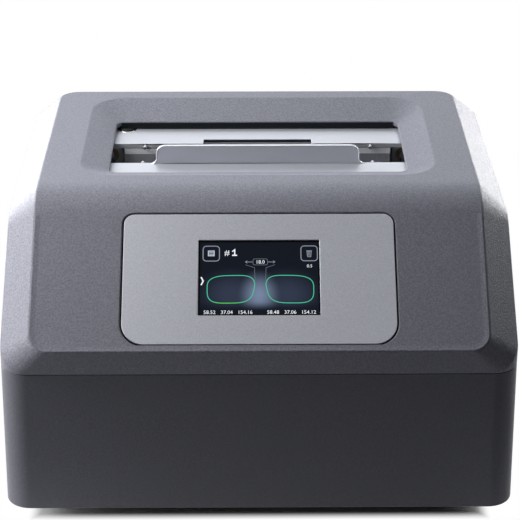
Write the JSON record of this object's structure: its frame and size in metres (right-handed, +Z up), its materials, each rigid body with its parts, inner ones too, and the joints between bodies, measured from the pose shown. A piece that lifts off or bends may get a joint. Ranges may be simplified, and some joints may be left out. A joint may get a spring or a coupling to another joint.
{
  "type": "spectacle frame tracer",
  "caption": "Tabletop spectacle frame tracer with a sloped face, touch screen, sunken opening, paired sliding jaws and a rotating stylus head on a cross stage.",
  "frame": {"origin": "on the table under the middle of the case", "axes": "+X to the right seen from the front, +Y to the rear, +Z up; the screen faces -Y"},
  "size_m": [0.3244, 0.288, 0.1993],
  "materials": {
    "cover_paint": "fine speckled grey paint",
    "housing_paint": "satin dark grey paint",
    "base_black": "matt black",
    "foot_rubber": "matt",
    "bezel_satin": "satin silver",
    "screen_glass": "clear, polished",
    "display_black": "matt black",
    "zinc_sheet": "zinc plated",
    "ground_steel": "ground and polished",
    "machined_aluminium": "machined",
    "jaw_pale": "pale grey satin",
    "lip_satin": "satin",
    "plug_black": "gloss black",
    "bright_ring": "polished",
    "gear_white": "white acetal",
    "bush_bronze": "sintered bronze",
    "motor_black": "black",
    "board_green": "green solder mask",
    "supply_case": "perforated sheet",
    "inlet_black": "black",
    "switch_gloss": "gloss black",
    "pin_steel": "bright"
  },
  "bodies": {
    "case": {"upper_cover": "cover_paint", "lower_housing": "housing_paint", "base_plate": "base_black", "front_left_foot": "foot_rubber", "front_right_foot": "foot_rubber", "rear_left_foot": "foot_rubber", "rear_right_foot": "foot_rubber", "bezel_plate": "bezel_satin", "touch_glass": "screen_glass", "display_module": "display_black", "display_bracket": "zinc_sheet", "chassis_left": "zinc_sheet", "chassis_right": "zinc_sheet", "jaw_rod_left": "ground_steel", "jaw_rod_right": "ground_steel", "rod_blocks": "machined_aluminium", "jaw_motor": "motor_black", "jaw_motor_bracket": "zinc_sheet", "stage_rod_front": "ground_steel", "stage_rod_rear": "ground_steel", "screw_motor": "motor_black", "screw_bearing": "pin_steel", "main_board": "board_green", "board_standoffs": "pin_steel", "power_supply": "supply_case", "connector_panel": "base_black", "power_inlet": "inlet_black", "inlet_pins": "pin_steel", "switch_frame": "inlet_black", "data_port": "inlet_black"},
    "front_jaw": {"front_jaw": "jaw_pale", "front_jaw_bushes": "bush_bronze", "front_rack": "gear_white", "front_rim_pins": "pin_steel"},
    "rear_jaw": {"rear_jaw": "jaw_pale", "rear_grip_block": "jaw_pale", "rear_jaw_bushes": "bush_bronze", "rear_rack": "gear_white", "rear_rim_pins": "pin_steel", "jaw_plug": "plug_black", "plug_ring": "bright_ring"},
    "jaw_pinion": {"jaw_pinion": "gear_white"},
    "carriage": {"stage_carriage": "machined_aluminium", "stage_bushes": "bush_bronze", "screw_nut": "bush_bronze", "turntable_bearing": "pin_steel", "turntable_motor": "motor_black"},
    "lead_screw": {"lead_screw": "ground_steel"},
    "turntable": {"turntable": "machined_aluminium", "radial_rods": "ground_steel", "encoder": "motor_black"},
    "turntable_pinion": {"turntable_pinion": "gear_white"},
    "radial_slide": {"radial_slide": "machined_aluminium", "radial_rack": "gear_white"},
    "encoder_pinion": {"encoder_pinion": "gear_white"},
    "stylus": {"stylus_column": "ground_steel", "stylus_head": "machined_aluminium", "stylus_tip": "pin_steel"},
    "power_switch": {"power_switch": "switch_gloss"}
  },
  "joints": [
    {"name": "front_jaw_slide", "type": "slide", "parent": "case", "child": "front_jaw", "axis": [0, -1, 0], "range_m": [-0.011, 0.01]},
    {"name": "rear_jaw_slide", "type": "slide", "parent": "case", "child": "rear_jaw", "axis": [0, 1, 0], "range_m": [-0.0111, 0.0101]},
    {"name": "jaw_pinion_spin", "type": "hinge", "parent": "case", "child": "jaw_pinion", "pos_m": [-0.088, 0.036, 0.16], "axis": [0, 0, 1], "range_deg": [-65, 60]},
    {"name": "stage_slide", "type": "slide", "parent": "case", "child": "carriage", "axis": [1, 0, 0], "range_m": [-0.032, 0.032]},
    {"name": "lead_screw_spin", "type": "hinge", "parent": "case", "child": "lead_screw", "pos_m": [0, 0.056, 0.064], "axis": [1, 0, 0], "range_deg": [-1450, 1450]},
    {"name": "turntable_spin", "type": "hinge", "parent": "carriage", "child": "turntable", "pos_m": [0, 0.036, 0.088], "axis": [0, 0, 1], "range_deg": [-185, 185]},
    {"name": "turntable_pinion_spin", "type": "hinge", "parent": "carriage", "child": "turntable_pinion", "pos_m": [0.045, 0.036, 0.088], "axis": [0, 0, 1], "range_deg": [-745, 745]},
    {"name": "radial_travel", "type": "slide", "parent": "turntable", "child": "radial_slide", "axis": [1, 0, 0], "range_m": [0, 0.028]},
    {"name": "encoder_spin", "type": "hinge", "parent": "turntable", "child": "encoder_pinion", "pos_m": [0, 0.0086, 0.102], "axis": [0, 0, 1], "range_deg": [-255, 5]},
    {"name": "stylus_lift", "type": "slide", "parent": "radial_slide", "child": "stylus", "axis": [0, 0, 1], "range_m": [0, 0.014]},
    {"name": "power_rocker", "type": "hinge", "parent": "case", "child": "power_switch", "pos_m": [0.074, 0.13482, 0.046], "axis": [1, 0, 0], "range_deg": [-20, 0]}
  ],
  "couplings": [
    {"joint": "rear_jaw_slide", "follows": "front_jaw_slide", "ratio": 1},
    {"joint": "jaw_pinion_spin", "follows": "front_jaw_slide", "rad_per_m": 100},
    {"joint": "lead_screw_spin", "follows": "stage_slide", "rad_per_m": 785.4},
    {"joint": "turntable_pinion_spin", "follows": "turntable_spin", "ratio": -4},
    {"joint": "encoder_spin", "follows": "radial_travel", "rad_per_m": -156.25}
  ]
}
